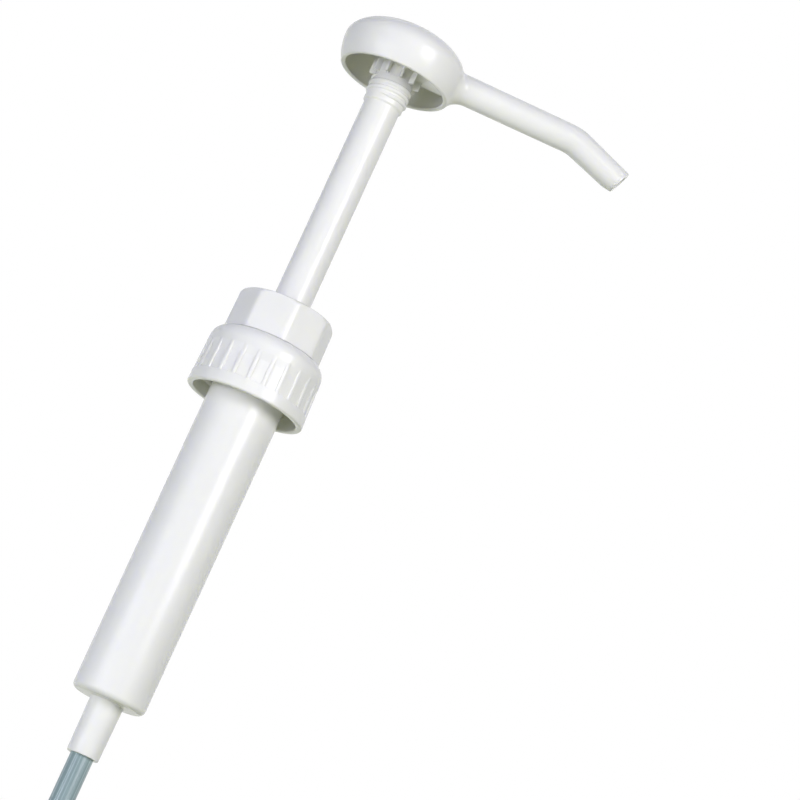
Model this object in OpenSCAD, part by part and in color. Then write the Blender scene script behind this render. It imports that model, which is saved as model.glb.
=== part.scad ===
// Hand dosing pump for a jug with a screw neck, drawn with its head up.
// A push head with a spout rides on a hollow stem, and the stem drives a sprung piston in a long barrel.
// A ribbed closure turns freely on the barrel, and an eight-sided collar on the barrel's neck guides the stem.
// Sizes are in millimetres, +Z points up and the spout points along +X.
// The origin is on the pump's axis, in the plane where the jug's neck meets the gasket.

/* [Closure] */
// Diameter of the jug's neck over its thread
neck_thread_d = 37.3; // [36:0.1:41]
// Room between the neck's thread and the skirt, on the radius
neck_thread_room = 0.15; // [0.05:0.05:0.5]
// Wall of the skirt at its rim
skirt_wall = 2.2; // [1.8:0.1:3]
// Depth of the skirt below the neck seat
skirt_depth = 17; // [15:0.5:24]
// How much the skirt narrows up to its shoulder, on the radius
skirt_draft = 0.6; // [0:0.1:0.8]
// Rounding of the shoulder
shoulder_r = 5; // [2:0.5:5.5]
// Thickness of the closure's top
closure_top_t = 2; // [1.5:0.1:4]
// Inner corner of the closure that is left filled, on the radius
corner_fill = 1.3; // [0.8:0.1:1.6]
// Number of grip ribs
rib_count = 24; // [12:1:36]
// Turn of the first grip rib from the spout, in degrees
rib_turn = 8; // [0:1:15]
// Width of a grip rib
rib_w = 1.4; // [0.8:0.1:2]
// Height of the grip ribs
rib_h = 10.8; // [6:0.2:12]
// Slope at the upper end of each panel between the ribs
panel_slope = 3; // [0.4:0.1:6]
// Depth of the panels between the ribs
panel_depth = 0.55; // [0.3:0.05:0.8]
// Height of the plain band below the ribs
band_h = 4.5; // [2:0.5:6]

/* [Gasket] */
// Thickness of the neck gasket
gasket_t = 1.5; // [1:0.1:3]
// Room between the gasket and the skirt, on the radius
gasket_room = 0.5; // [0.3:0.1:1]

/* [Barrel] */
// Bore that the piston runs in
bore_d = 22.4; // [21.6:0.1:23.4]
// Wall of the barrel under its flange
barrel_wall = 1.9; // [1.5:0.1:2.4]
// How much the barrel narrows down to its foot, on the radius
barrel_draft = 0.3; // [0:0.05:0.5]
// Wall of the barrel's neck above the flange
neck_wall = 2.6; // [2.2:0.1:2.9]
// Thickness of the flange that holds the closure down
flange_t = 2; // [1.5:0.1:3]
// Thickness of the barrel's floor
floor_t = 3; // [2:0.1:5]
// Rounding of the barrel's foot
foot_round = 2; // [0.5:0.1:2.5]
// Wall of the tail around the inlet ball
tail_wall = 1.5; // [1:0.1:2.5]
// How much the tail narrows to its end, on the radius
tail_draft = 0.25; // [0:0.05:0.4]
// Diameter of the air hole under the flange
vent_d = 1.6; // [1:0.1:2.5]
// Drop of the air hole below the neck seat
vent_drop = 5; // [3:0.5:8]

/* [Dip tube] */
// Outside diameter of the dip tube
tube_od = 8; // [7:0.1:8.4]
// Wall of the dip tube
tube_wall = 1; // [0.6:0.1:1.4]
// Whole length of the dip tube
tube_len = 146; // [60:1:260]
// Length of the dip tube that the tail grips
tube_grip = 11.5; // [6:0.5:20]

/* [Valves] */
// Diameter of both check valve balls
ball_d = 7.5; // [6.5:0.1:8.2]
// Lift of both balls
ball_lift = 2.5; // [1.5:0.1:4]
// Hole under each ball
seat_d = 5; // [4:0.1:5.4]
// Room around the inlet ball, on the radius
ball_room = 0.45; // [0.3:0.05:0.8]
// Straight passage between the inlet seat and the dip tube
passage_len = 1.6; // [1:0.1:4]
// Thickness of the inlet valve cage
cage_t = 2; // [1.5:0.1:3]
// Height of the ring on the cage that centres the spring
cage_ring_h = 2.5; // [1:0.1:4]
// Wall of the ring on the cage
cage_ring_wall = 1; // [0.6:0.1:1.5]
// Width of the bars across the cage
cage_bar_w = 2; // [1.5:0.1:3]
// Length of the outlet valve seat inside the stem
seat_plug_len = 5; // [4:0.1:8]
// Thickness of the outlet valve seat's flange
seat_flange_t = 1.6; // [1:0.1:3]
// Flat rim around the outlet seat's cone
seat_rim = 0.3; // [0.2:0.05:0.5]
// Number of fins in the stem that stop the outlet ball
stop_count = 4; // [3:1:6]
// Thickness of a stop fin
stop_t = 1; // [0.8:0.1:1.4]
// Height of a stop fin
stop_h = 5; // [2:0.5:10]
// How far a stop fin reaches in from the stem's bore
stop_reach = 2.3; // [1.8:0.1:2.8]

/* [Piston] */
// Length of the piston
piston_len = 14.2; // [12:0.1:20]
// Depth of the cups behind the piston's lips
lip_h = 3; // [2:0.1:4]
// Thickness of the lips
lip_t = 0.9; // [0.6:0.1:1.2]
// Width of the sealing band on each lip
seal_band = 2.5; // [1:0.1:3.5]
// Depth of the waist between the sealing bands
waist_depth = 0.45; // [0.2:0.05:0.6]
// Drop of the hub below the upper lip
hub_drop = 1.3; // [0.8:0.1:2]
// Rise of the hub above the lower lip
hub_rise = 0.7; // [0.4:0.1:1.5]
// Wall of the hub at the upper cup
hub_wall = 2.7; // [1.5:0.1:3.2]

/* [Spring] */
// Wire diameter
spring_wire = 1.3; // [1:0.05:1.6]
// Number of turns
spring_turns = 13; // [8:1:16]
// Room between the spring and the bore, on the radius
spring_room = 2.2; // [1.8:0.1:2.6]
// Gap between turns in the closed end turns
spring_end_gap = 0.5; // [0.45:0.05:1]
// Spare height left when the spring is pressed down
spring_spare = 3.6; // [1:0.1:10]

/* [Stem] */
// Travel of the head, from up to locked down
stroke = 88; // [40:1:110]
// Outside diameter of the stem
stem_od = 13; // [12:0.1:13.6]
// Bore of the stem
stem_bore = 9; // [8.6:0.1:9.6]
// Step from the stem to its spigots, on the radius
spigot_step = 1; // [0.8:0.1:1.2]
// Height of the lock thread over the stem
thread_h = 1.25; // [0.8:0.05:1.4]
// Height of the lock thread's root over the stem
thread_root_h = 0.6; // [0.3:0.05:0.7]
// Length of the lock thread
thread_len = 10.4; // [8:0.1:10.8]

/* [Stem guide and seal] */
// Length of the guide bore
guide_len = 6; // [4:0.1:12]
// Thickness of the guide's flange on the barrel's mouth
guide_flange_t = 1.5; // [1:0.1:2.5]
// Height of the stem seal
seal_t = 2.2; // [1.6:0.1:3]
// Thickness of the stem seal's web
seal_web = 0.9; // [0.6:0.1:1.2]
// Thickness of the stem seal's lip
seal_lip = 0.6; // [0.4:0.1:0.9]

/* [Collar] */
// Height of the collar
collar_h = 14.1; // [13:0.1:20]
// Wall of the collar at its flats
collar_wall = 2.5; // [1.8:0.1:4]
// Thickness of the collar's roof
collar_roof = 3.9; // [2:0.1:4.5]
// How much the collar narrows upwards, on the radius
collar_draft = 0.25; // [0:0.05:0.6]
// How much the collar's corners are eased, on the radius
corner_ease = 0.25; // [0:0.05:0.6]
// Rounding of the collar's upper edge
collar_round = 2; // [0.5:0.1:3]
// Wall of the sleeve around the lock thread
sleeve_wall = 1.4; // [1:0.1:1.6]
// Number of flats on the collar
flat_count = 8; // [6:1:12]
// Turn of the collar as it is tightened, in degrees
collar_turn = 7; // [0:1:45]

/* [Head] */
// Largest radius of the head
head_r = 22.2; // [20:0.1:30]
// How much the head draws in at its rim, on the radius
rim_draw = 2.4; // [0.5:0.1:4]
// Height of the head from its rim to its widest place
side_h = 9.4; // [8.8:0.1:14]
// Height of the head's crown over its widest place
crown_h = 10.4; // [8.8:0.1:16]
// Wall of the head
head_wall = 1.6; // [1.4:0.1:2.4]
// Gap between the rim and the collar when the head is locked down
lock_gap = 1.8; // [0.5:0.1:5]
// Wall of the boss that grips the stem
boss_wall = 1.45; // [1:0.05:2.5]
// Number of stiffening ribs on the boss
boss_rib_count = 10; // [4:1:14]
// Thickness of a boss rib
boss_rib_t = 0.9; // [0.6:0.1:1.6]
// How far the boss ribs reach out from the boss
boss_rib_reach = 2.2; // [1:0.1:4]
// Turn of the first boss rib from the spout, in degrees
boss_rib_turn = 28; // [0:1:36]

/* [Spout] */
// Height of the spout's centre line over the head's rim
spout_rise = 8.3; // [7.6:0.1:9.2]
// Reach of the spout from the axis to its bend
spout_reach = 65.7; // [45:0.1:110]
// Length of the spout past its bend
spout_tip_len = 21.4; // [12:0.1:40]
// Downward bend of the spout, in degrees
spout_bend = 20; // [5:1:60]
// Radius of the bend on the centre line
bend_r = 14; // [10:0.5:30]
// Diameter of the spout at the head
spout_root_d = 10.6; // [9:0.1:11.4]
// Diameter of the spout at its bend
spout_bend_d = 10.2; // [8:0.1:11]
// Diameter of the spout at its tip
spout_tip_d = 9.5; // [7.6:0.1:10]
// Bore of the spout
spout_bore = 6.4; // [4:0.1:6.8]
// Tilt of the cut at the spout's tip, in degrees
tip_cut = 6.5; // [0:0.5:30]
// Length of the flare where the spout leaves the head
flare_len = 8.5; // [4:0.1:14]
// Swell of the flare over the spout, on the radius
flare_swell = 1.95; // [0.5:0.05:2.4]
// Depth of the flare's start inside the head's largest radius
flare_set = 4.2; // [3:0.1:6]

/* [Clearances] */
// Running clearance of sliding fits, on the radius
fit_gap = 0.05; // [0.02:0.01:0.1]
// Gap between pieces that turn or slide past each other
run_gap = 0.3; // [0.2:0.05:0.5]
// End play of pieces that are held loosely
end_play = 0.1; // [0.05:0.05:0.3]
// Clearance of parts that are screwed or dropped together, on the radius
slack = 0.2; // [0.1:0.05:0.3]
// Room around the lock thread, on the radius
thread_room = 0.35; // [0.3:0.05:0.6]
// Room between the locked thread's end and the stem seal
thread_end_room = 1.1; // [0.4:0.1:2]

/* [Hidden] */
$fn = 96;
arc_steps = 8;
past = 1;

// Radii from the bore outwards
bore_r = bore_d / 2;
barrel_top_r = bore_r + barrel_wall;
barrel_low_r = barrel_top_r - barrel_draft;
neck_r = bore_r + neck_wall;
skirt_bore_r = neck_thread_d / 2 + neck_thread_room;
closure_r = skirt_bore_r + skirt_wall;
shoulder_top_r = closure_r - skirt_draft;
closure_hole_r = neck_r + run_gap;
flange_r = skirt_bore_r - corner_fill - run_gap;
gasket_r = skirt_bore_r - gasket_room;
gasket_hole_r = barrel_top_r + slack;
collar_bore_r = neck_r + slack / 2;
collar_flat_r = collar_bore_r + collar_wall;
collar_corner_r = collar_flat_r / cos(180 / flat_count) - corner_ease;

// Radii of the stem and of what surrounds it
stem_r = stem_od / 2;
stem_bore_r = stem_bore / 2;
spigot_r = stem_r - spigot_step;
thread_r = stem_r + thread_h;
thread_root_r = stem_r + thread_root_h;
sleeve_bore_r = thread_r + thread_room;
sleeve_r = sleeve_bore_r + sleeve_wall;
guide_cup_r = sleeve_r + slack;
guide_r = bore_r - slack / 2;
seal_r = guide_cup_r - slack / 2;

// Radii of the piston, the spring and the valves.
// The coil is drawn in straight lengths, which leave a little less room inside it than the wire does.
spring_rings = 12;
spring_sides = 6;
piston_r = bore_r - fit_gap;
hub_bore_r = spigot_r + fit_gap;
hub_r = hub_bore_r + hub_wall;
lip_inner_r = piston_r - lip_t;
spring_mean_r = bore_r - spring_room - spring_wire / 2;
spring_clear_r = (spring_mean_r - spring_wire / 2) * cos(180 / spring_rings);
seat_flange_r = spring_clear_r - run_gap;
hub_recess_r = seat_flange_r + run_gap;
spring_land_r = spring_mean_r + spring_wire;
ball_r = ball_d / 2;
seat_r = seat_d / 2;
chamber_r = ball_r + ball_room;
plug_r = stem_bore_r - fit_gap;
plug_cone_r = plug_r - seat_rim;
stop_r = stem_bore_r - stop_reach;
cage_r = bore_r - run_gap;
cage_ring_r = spring_clear_r - run_gap;
cage_window_r = cage_ring_r - cage_ring_wall;
tube_r = tube_od / 2;
tube_socket_r = tube_r + fit_gap;
tail_top_r = max(chamber_r, tube_socket_r + tail_draft) + tail_wall;
tail_low_r = tail_top_r - tail_draft;

// Levels of the stack that sits on the jug's neck
gasket_top_z = gasket_t;
flange_top_z = gasket_top_z + flange_t;
closure_top_z = flange_top_z + closure_top_t;
skirt_rim_z = -skirt_depth;
rib_low_z = skirt_rim_z + band_h;
rib_top_z = rib_low_z + rib_h;
shoulder_z = closure_top_z - shoulder_r;
collar_base_z = closure_top_z + run_gap;
collar_top_z = collar_base_z + collar_h;
collar_roof_z = collar_top_z - collar_roof;
barrel_top_z = collar_roof_z - guide_flange_t;

// Levels of the stem's guide, from the locked thread's end downwards
thread_locked_z = collar_top_z + lock_gap - thread_len;
seal_top_z = thread_locked_z - thread_end_room;
seal_low_z = seal_top_z - seal_t;
guide_low_z = seal_low_z - guide_len;

// Levels of the piston, the spring and the barrel's foot, with the head up
piston_top_z = guide_low_z - run_gap;
piston_low_z = piston_top_z - piston_len;
hub_top_z = piston_top_z - hub_drop;
hub_low_z = piston_low_z + hub_rise;
spring_packed_h = spring_turns * spring_wire + spring_spare;
cage_top_z = piston_low_z - stroke - spring_packed_h;
floor_z = cage_top_z - cage_t;
barrel_low_z = floor_z - floor_t;

// Levels of the inlet valve and the tail
inlet_ball_z = floor_z - end_play - ball_lift - ball_r;
ball_over_cone = (ball_r + end_play) * sqrt(2);
inlet_seat_z = inlet_ball_z - ball_over_cone + seat_r;
chamber_low_z = inlet_seat_z + chamber_r - seat_r;
tube_top_z = inlet_seat_z - passage_len;
tail_low_z = tube_top_z - tube_grip;
tube_low_z = tube_top_z - tube_len;

// Levels of the stem, the outlet valve and the head
stem_shoulder_z = hub_top_z + end_play;
spigot_low_z = hub_low_z - end_play;
plug_top_z = spigot_low_z + seat_plug_len;
outlet_seat_z = plug_top_z - (plug_cone_r - seat_r);
outlet_ball_z = outlet_seat_z - seat_r + ball_over_cone;
stop_low_z = outlet_ball_z + ball_lift + sqrt(ball_r * ball_r - stop_r * stop_r) + end_play;
rim_z = collar_top_z + lock_gap + stroke;
thread_low_z = rim_z - thread_len;
widest_z = rim_z + side_h;
crown_z = widest_z + crown_h;
spout_z = rim_z + spout_rise;
stem_top_z = spout_z - spout_bore / 2;
socket_top_z = spout_z + spout_bore / 2 + slack;

// Places along the spout
bend_lap = 0.5;
bend_fullness = 0.03;
bend_start_x = spout_reach - bend_r * tan(spout_bend / 2);
bend_end_x = bend_start_x + bend_r * sin(spout_bend);
bend_end_z = spout_z - bend_r * (1 - cos(spout_bend));
tip_run = spout_tip_len - bend_r * tan(spout_bend / 2);
tip_x = bend_end_x + tip_run * cos(spout_bend);
tip_z = bend_end_z - tip_run * sin(spout_bend);
flare_x = head_r - flare_set;
flare_end_x = flare_x + flare_len;
flare_end_r = (spout_root_d - (spout_root_d - spout_bend_d) * flare_end_x / bend_start_x) / 2;
flare_arc_r = (flare_len * flare_len + flare_swell * flare_swell) / (2 * flare_swell);

// Boss and ribs under the head
boss_bore_r = spigot_r + fit_gap;
boss_r = boss_bore_r + boss_wall;
boss_rib_root_r = boss_r - boss_wall / 2;
boss_rib_r = boss_r + boss_rib_reach;
boss_top_z = crown_z - head_wall;

// Points of an arc about a centre, from one angle to another
function arc(centre, r, from, to, steps = arc_steps) =
    [for (i = [0:steps]) centre + r * [cos(from + (to - from) * i / steps), sin(from + (to - from) * i / steps)]];

// Half outline of the head: an elliptic crown over sides that draw in to the rim
function head_outline(inset, steps = 20) =
    let (
        widest = head_r - inset,
        side = side_h / sqrt(1 - pow((head_r - rim_draw) / head_r, 2)),
        low_angle = asin(side_h / side)
    )
    concat(
        [for (i = [0:steps]) let (a = -low_angle * (1 - i / steps)) [widest * cos(a), widest_z + side * sin(a)]],
        [for (i = [1:steps]) let (a = 90 * i / steps) [widest * cos(a), widest_z + (crown_h - inset) * sin(a)]]
    );

// Solid of the head's outline, inset by a wall
module head_body(inset) {
    rotate_extrude()
        polygon(concat([[0, rim_z]], head_outline(inset)));
}

// A round body along the spout: straight run, bend and tip.
// Both runs lap into the bend, which is a touch fuller than they are.
module spout_run(root_r, middle_r, end_r, extra) {
    translate([0, 0, spout_z])
        rotate([0, 90, 0])
        cylinder(r1 = root_r, r2 = middle_r, h = bend_start_x + bend_lap);
    translate([bend_start_x, 0, spout_z - bend_r])
        rotate([-90, 0, 0])
        rotate([0, 0, -90])
        rotate_extrude(angle = spout_bend)
        translate([bend_r, 0])
        circle(r = middle_r + bend_fullness);
    translate([bend_end_x, 0, bend_end_z])
        rotate([0, 90 + spout_bend, 0])
        translate([0, 0, -bend_lap])
        cylinder(r1 = middle_r, r2 = end_r, h = bend_lap + tip_run + extra);
}

// Hollow-sided flare that leads the head's side into the spout
module spout_flare() {
    sweep = asin(flare_len / flare_arc_r);
    centre = [flare_end_r + flare_arc_r, flare_end_x];
    translate([0, 0, spout_z])
        rotate([0, 90, 0])
        rotate_extrude()
        polygon(concat(
            [[0, flare_end_x], [0, flare_x]],
            arc(centre, flare_arc_r, 180 + sweep, 180)
        ));
}

// Domed push head and spout, one hollow moulding
module actuator_head() {
    tip_r = spout_tip_d / 2;
    tip_room = tip_r * tan(tip_cut) + past;
    color("white")
    difference() {
        union() {
            difference() {
                union() {
                    head_body(0);
                    spout_flare();
                    spout_run(spout_root_d / 2, spout_bend_d / 2, tip_r, tip_room);
                }
                head_body(head_wall);
                translate([0, 0, rim_z - past])
                    cylinder(r = head_r - rim_draw - head_wall, h = past);
            }
            translate([0, 0, rim_z])
                cylinder(r = boss_r, h = boss_top_z - rim_z);
            boss_ribs();
            translate([0, 0, spout_z])
                rotate([0, 90, 0])
                cylinder(r = spout_root_d / 2, h = head_r - head_wall);
        }
        translate([0, 0, rim_z - past])
            cylinder(r = boss_bore_r, h = socket_top_z - rim_z + past);
        spout_run(spout_bore / 2, spout_bore / 2, spout_bore / 2, tip_room + past);
        translate([tip_x, 0, tip_z])
            rotate([0, 90 + spout_bend + tip_cut, 0])
            cylinder(r = 2 * tip_r, h = 2 * tip_room);
    }
}

// Thin upright ribs around the boss
module boss_ribs() {
    for (i = [0:boss_rib_count - 1])
        rotate(boss_rib_turn + i * 360 / boss_rib_count)
        translate([boss_rib_root_r, -boss_rib_t / 2, rim_z])
        cube([boss_rib_r - boss_rib_root_r, boss_rib_t, boss_top_z - rim_z]);
}

// Hollow push rod with its lock thread's root, two spigots and the fins that stop the outlet ball
module stem() {
    color("white") {
        rotate_extrude()
            polygon([
                [stem_bore_r, spigot_low_z],
                [spigot_r, spigot_low_z],
                [spigot_r, stem_shoulder_z],
                [stem_r, stem_shoulder_z],
                [stem_r, thread_low_z],
                [thread_root_r, thread_low_z + thread_root_h],
                [thread_root_r, rim_z],
                [spigot_r, rim_z],
                [spigot_r, stem_top_z],
                [stem_bore_r, stem_top_z]
            ]);
        for (i = [0:stop_count - 1])
            rotate(i * 360 / stop_count)
            translate([stop_r, -stop_t / 2, stop_low_z])
            cube([(stem_bore_r + spigot_r) / 2 - stop_r, stop_t, stop_h]);
    }
}

// Flanged plug in the stem's foot with the outlet ball's conical seat
module outlet_valve_seat() {
    color("whitesmoke")
    rotate_extrude()
        polygon([
            [seat_r, spigot_low_z - seat_flange_t],
            [seat_flange_r, spigot_low_z - seat_flange_t],
            [seat_flange_r, spigot_low_z],
            [plug_r, spigot_low_z],
            [plug_r, plug_top_z],
            [plug_cone_r, plug_top_z],
            [seat_r, outlet_seat_z]
        ]);
}

// Ball of the outlet valve
module outlet_ball() {
    color("silver")
    translate([0, 0, outlet_ball_z])
        sphere(r = ball_r);
}

// Two-lipped piston on the stem's spigot
module piston() {
    color("ivory")
    rotate_extrude()
        polygon([
            [hub_bore_r, hub_low_z],
            [hub_recess_r, hub_low_z],
            [hub_recess_r, piston_low_z],
            [spring_land_r, piston_low_z],
            [spring_land_r, piston_low_z + lip_h],
            [lip_inner_r, piston_low_z + lip_h],
            [lip_inner_r, piston_low_z],
            [piston_r, piston_low_z],
            [piston_r, piston_low_z + seal_band],
            [piston_r - waist_depth, piston_low_z + seal_band + waist_depth],
            [piston_r - waist_depth, piston_top_z - seal_band - waist_depth],
            [piston_r, piston_top_z - seal_band],
            [piston_r, piston_top_z],
            [lip_inner_r, piston_top_z],
            [lip_inner_r, piston_top_z - lip_h],
            [hub_r, piston_top_z - lip_h],
            [hub_r, hub_top_z],
            [hub_bore_r, hub_top_z]
        ]);
}

// Compression spring between the cage and the piston, with close end turns
spring_low_z = cage_top_z + end_play + spring_wire / 2;
spring_top_z = piston_low_z - end_play - spring_wire / 2;
spring_end_pitch = spring_wire + spring_end_gap;
spring_mid_pitch = (spring_top_z - spring_low_z - 2 * spring_end_pitch) / (spring_turns - 2);

// Height of the wire's centre after a number of turns
function spring_z(turn) =
    spring_low_z
    + spring_end_pitch * (min(turn, 1) + max(turn - spring_turns + 1, 0))
    + spring_mid_pitch * (min(max(turn, 1), spring_turns - 1) - 1);

// Centre of the wire after a number of turns
function spring_point(turn) =
    [spring_mean_r * cos(360 * turn), spring_mean_r * sin(360 * turn), spring_z(turn)];

// Ring of points around the wire after a number of turns
function spring_ring(turn) =
    let (
        a = 360 * turn,
        rise = atan((spring_z(turn + 0.01) - spring_z(turn - 0.01)) / (0.02 * 2 * PI * spring_mean_r)),
        outwards = [cos(a), sin(a), 0],
        across = [sin(a) * sin(rise), -cos(a) * sin(rise), cos(rise)]
    )
    [for (k = [0:spring_sides - 1])
        let (b = 360 * k / spring_sides)
        spring_point(turn) + spring_wire / 2 * (cos(b) * outwards + sin(b) * across)];

module spring() {
    last = spring_turns * spring_rings;
    centres = [for (i = [0:last]) spring_point(i / spring_rings)];
    points = [for (i = [0:last]) each spring_ring(i / spring_rings)];
    sides = [for (i = [0:last - 1], k = [0:spring_sides - 1])
        let (
            a = i * spring_sides + k,
            d = i * spring_sides + (k + 1) % spring_sides
        )
        each [[a, d, d + spring_sides], [a, d + spring_sides, a + spring_sides]]];
    first_cap = [for (k = [1:spring_sides - 2]) [0, k + 1, k]];
    end = last * spring_sides;
    end_cap = [for (k = [1:spring_sides - 2]) [end, end + k, end + k + 1]];
    near = [for (i = [0:last], j = [i + spring_rings / 2:1:last]) norm(centres[i] - centres[j])];
    echo(str("Spring's least gap to itself: ", min(near) - spring_wire, " mm"));
    color("lightsteelblue")
    polyhedron(points, concat(sides, first_cap, end_cap));
}

// Slotted disc on the barrel's floor: stop of the inlet ball and seat of the spring
module inlet_valve_cage() {
    color("whitesmoke")
    difference() {
        union() {
            translate([0, 0, floor_z])
                cylinder(r = cage_r, h = cage_t);
            translate([0, 0, cage_top_z])
                cylinder(r = cage_ring_r, h = cage_ring_h);
        }
        translate([0, 0, cage_top_z])
            cylinder(r = cage_window_r, h = cage_ring_h + past);
        difference() {
            translate([0, 0, floor_z - past])
                cylinder(r = cage_window_r, h = cage_t + 2 * past);
            for (a = [0, 90])
                rotate(a)
                translate([-bore_r, -cage_bar_w / 2, floor_z - 2 * past])
                cube([2 * bore_r, cage_bar_w, cage_t + 4 * past]);
        }
    }
}

// Ball of the inlet valve
module inlet_ball() {
    color("silver")
    translate([0, 0, inlet_ball_z])
        sphere(r = ball_r);
}

// Barrel with its neck, flange, foot and tail
module cylinder_outline() {
    polygon(concat(
        [[0, tail_low_z], [tail_low_r, tail_low_z], [tail_top_r, barrel_low_z]],
        arc([barrel_low_r - foot_round, barrel_low_z + foot_round], foot_round, -90, 0),
        [
            [barrel_top_r, gasket_top_z],
            [flange_r, gasket_top_z],
            [flange_r, flange_top_z],
            [neck_r, flange_top_z],
            [neck_r, barrel_top_z],
            [0, barrel_top_z]
        ]
    ));
}

module pump_cylinder() {
    color("white")
    difference() {
        rotate_extrude()
            cylinder_outline();
        translate([0, 0, floor_z])
            cylinder(r = bore_r, h = barrel_top_z - floor_z + past);
        translate([0, 0, chamber_low_z])
            cylinder(r = chamber_r, h = floor_z - chamber_low_z + past);
        translate([0, 0, inlet_seat_z])
            cylinder(r1 = seat_r, r2 = chamber_r, h = chamber_low_z - inlet_seat_z);
        translate([0, 0, tube_top_z - past])
            cylinder(r = seat_r, h = inlet_seat_z - tube_top_z + past);
        translate([0, 0, tail_low_z - past])
            cylinder(r = tube_socket_r, h = tube_grip + past);
        translate([-barrel_top_r - past, 0, -vent_drop])
            rotate([0, 90, 0])
            cylinder(d = vent_d, h = barrel_wall + 2 * past);
    }
}

// Straight tube from the tail down into the jug
module dip_tube() {
    color("lightblue", 0.6)
    translate([0, 0, tube_low_z])
        difference() {
            cylinder(r = tube_r, h = tube_len);
            translate([0, 0, -past])
                cylinder(r = tube_r - tube_wall, h = tube_len + 2 * past);
        }
}

// Flat ring that seals the jug's neck
module neck_gasket() {
    color("gainsboro")
    difference() {
        cylinder(r = gasket_r, h = gasket_t);
        translate([0, 0, -past])
            cylinder(r = gasket_hole_r, h = gasket_t + 2 * past);
    }
}

// Half outline of the closure, with its rounded shoulder
module closure_outline() {
    polygon(concat(
        [
            [closure_hole_r, flange_top_z],
            [skirt_bore_r - corner_fill, flange_top_z],
            [skirt_bore_r, gasket_top_z],
            [skirt_bore_r, skirt_rim_z],
            [closure_r, skirt_rim_z]
        ],
        arc([shoulder_top_r - shoulder_r, shoulder_z], shoulder_r, 0, 90),
        [[closure_hole_r, closure_top_z]]
    ));
}

// Radius of the closure's drafted side at a height
function side_r(z) = closure_r - skirt_draft * (z - skirt_rim_z) / (shoulder_z - skirt_rim_z);

// Ribbed screw closure, free to turn between the flange and the collar
module closure_cap() {
    panel_top_z = rib_top_z - panel_slope;
    panel_top_r = side_r(panel_top_z) - panel_depth;
    color("white")
    difference() {
        rotate_extrude()
            closure_outline();
        difference() {
            rotate_extrude()
                polygon([
                    [side_r(rib_low_z) - panel_depth, rib_low_z],
                    [closure_r + past, rib_low_z],
                    [closure_r + past, rib_top_z + panel_slope],
                    [2 * side_r(rib_top_z) - panel_top_r, rib_top_z + panel_slope],
                    [panel_top_r, panel_top_z]
                ]);
            for (i = [0:rib_count - 1])
                rotate(rib_turn + i * 360 / rib_count)
                translate([skirt_bore_r, -rib_w / 2, rib_low_z - past])
                cube([skirt_wall + 2 * past, rib_w, rib_h + 2 * past]);
        }
    }
}

// Eight-sided collar with the sleeve that takes the lock thread
module collar_nut() {
    flat_w = 2 * collar_corner_r;
    color("white")
    difference() {
        rotate_extrude()
            polygon(concat(
                [
                    [collar_bore_r, collar_base_z],
                    [collar_corner_r, collar_base_z]
                ],
                arc(
                    [collar_corner_r - collar_draft - collar_round, collar_top_z - collar_round],
                    collar_round, 0, 90
                ),
                [
                    [sleeve_bore_r, collar_top_z],
                    [sleeve_bore_r, seal_top_z],
                    [sleeve_r, seal_top_z],
                    [sleeve_r, collar_roof_z],
                    [collar_bore_r, collar_roof_z]
                ]
            ));
        for (i = [0:flat_count - 1])
            rotate(collar_turn + (i + 0.5) * 360 / flat_count)
            translate([collar_flat_r, 0, collar_base_z])
            rotate([0, -atan(collar_draft / collar_h), 0])
            translate([0, -flat_w / 2, -collar_h])
            cube([flat_w, flat_w, 3 * collar_h]);
    }
}

// Bush in the barrel's mouth that guides the stem
module stem_guide() {
    color("whitesmoke")
    rotate_extrude()
        polygon([
            [stem_r + fit_gap, guide_low_z],
            [guide_r, guide_low_z],
            [guide_r, barrel_top_z],
            [neck_r, barrel_top_z],
            [neck_r, collar_roof_z],
            [guide_cup_r, collar_roof_z],
            [guide_cup_r, seal_low_z],
            [stem_r + fit_gap, seal_low_z]
        ]);
}

// Lip ring that wipes the stem, held down by the collar's sleeve
module stem_seal() {
    lip_r = stem_r + fit_gap;
    lip_top_z = seal_top_z - slack;
    color("dimgray")
    rotate_extrude()
        polygon([
            [lip_r, seal_low_z],
            [seal_r, seal_low_z],
            [seal_r, seal_top_z],
            [sleeve_bore_r, seal_top_z],
            [sleeve_bore_r, seal_low_z + seal_web],
            [lip_r + seal_lip, seal_low_z + seal_web],
            [lip_r + seal_lip, lip_top_z],
            [lip_r, lip_top_z]
        ]);
}

actuator_head();
stem();
outlet_valve_seat();
outlet_ball();
piston();
spring();
inlet_valve_cage();
inlet_ball();
pump_cylinder();  // cylinder
dip_tube();
neck_gasket();
closure_cap();
collar_nut();
stem_guide();
stem_seal();
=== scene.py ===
# Hand dosing pump for a jug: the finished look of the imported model, in its own frame and in metres.
# The pieces follow each other as they are put together, from the dip tube up to the push head.
# Their sizes are written in mm. The studio around the pump comes last, in metres.
import math

import bmesh
import bpy
from mathutils import Matrix, Vector


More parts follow.
